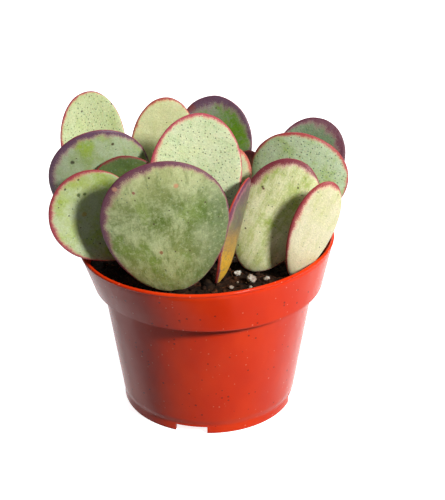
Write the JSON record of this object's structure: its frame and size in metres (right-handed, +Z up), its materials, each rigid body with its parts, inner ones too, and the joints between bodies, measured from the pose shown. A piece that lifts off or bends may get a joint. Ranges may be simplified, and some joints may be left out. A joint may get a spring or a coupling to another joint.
{
  "type": "potted jade plant",
  "caption": "Silver-dollar jade plant with broad, upright, round leaves edged in red, standing in a tapered round plastic nursery pot filled with potting mix.",
  "frame": {"origin": "centre of the whole plant's footprint, at the height of the pot's foot", "axes": "+Z up along the pot's axis, +X to the right of the plant's front, +Y towards its back"},
  "size_m": [0.119, 0.102, 0.1242],
  "materials": {
    "terracotta_plastic": "thin terracotta-coloured polypropylene with a soft sheen",
    "potting_mix": null,
    "stem_bark": "dull greenish-brown bark",
    "leaf_pale": null,
    "leaf_grey_green": "waxy grey-green skin with a purple-red margin",
    "perlite": "matt white, foamed volcanic glass"
  },
  "bodies": {
    "root": {"leaf_back_plain": "leaf_pale", "leaf_back_purple": "leaf_pale", "leaf_back_tip": "leaf_pale", "leaf_behind_centre": "leaf_pale", "leaf_centre": "leaf_pale", "leaf_edge_on": "leaf_pale", "leaf_front_round": "leaf_grey_green", "leaf_hidden_back": "leaf_pale", "leaf_hidden_left": "leaf_pale", "leaf_hidden_mid": "leaf_pale", "leaf_left_broad": "leaf_grey_green", "leaf_left_inner": "leaf_grey_green", "leaf_left_tall": "leaf_pale", "leaf_low_left": "leaf_grey_green", "leaf_right_broad": "leaf_grey_green", "leaf_right_oval": "leaf_pale", "leaf_right_rear": "leaf_pale", "leaf_right_rim": "leaf_pale", "perlite_a": "perlite", "perlite_b": "perlite", "perlite_c": "perlite", "perlite_d": "perlite", "perlite_e": "perlite", "perlite_f": "perlite", "pot": "terracotta_plastic", "potting_mix": "potting_mix", "stem_back": "stem_bark", "stem_corner": "stem_bark", "stem_front": "stem_bark", "stem_left": "stem_bark", "stem_mid": "stem_bark", "stem_rear": "stem_bark", "stem_right": "stem_bark", "stem_shoot": "stem_bark", "stem_west": "stem_bark"}
  },
  "joints": []
}
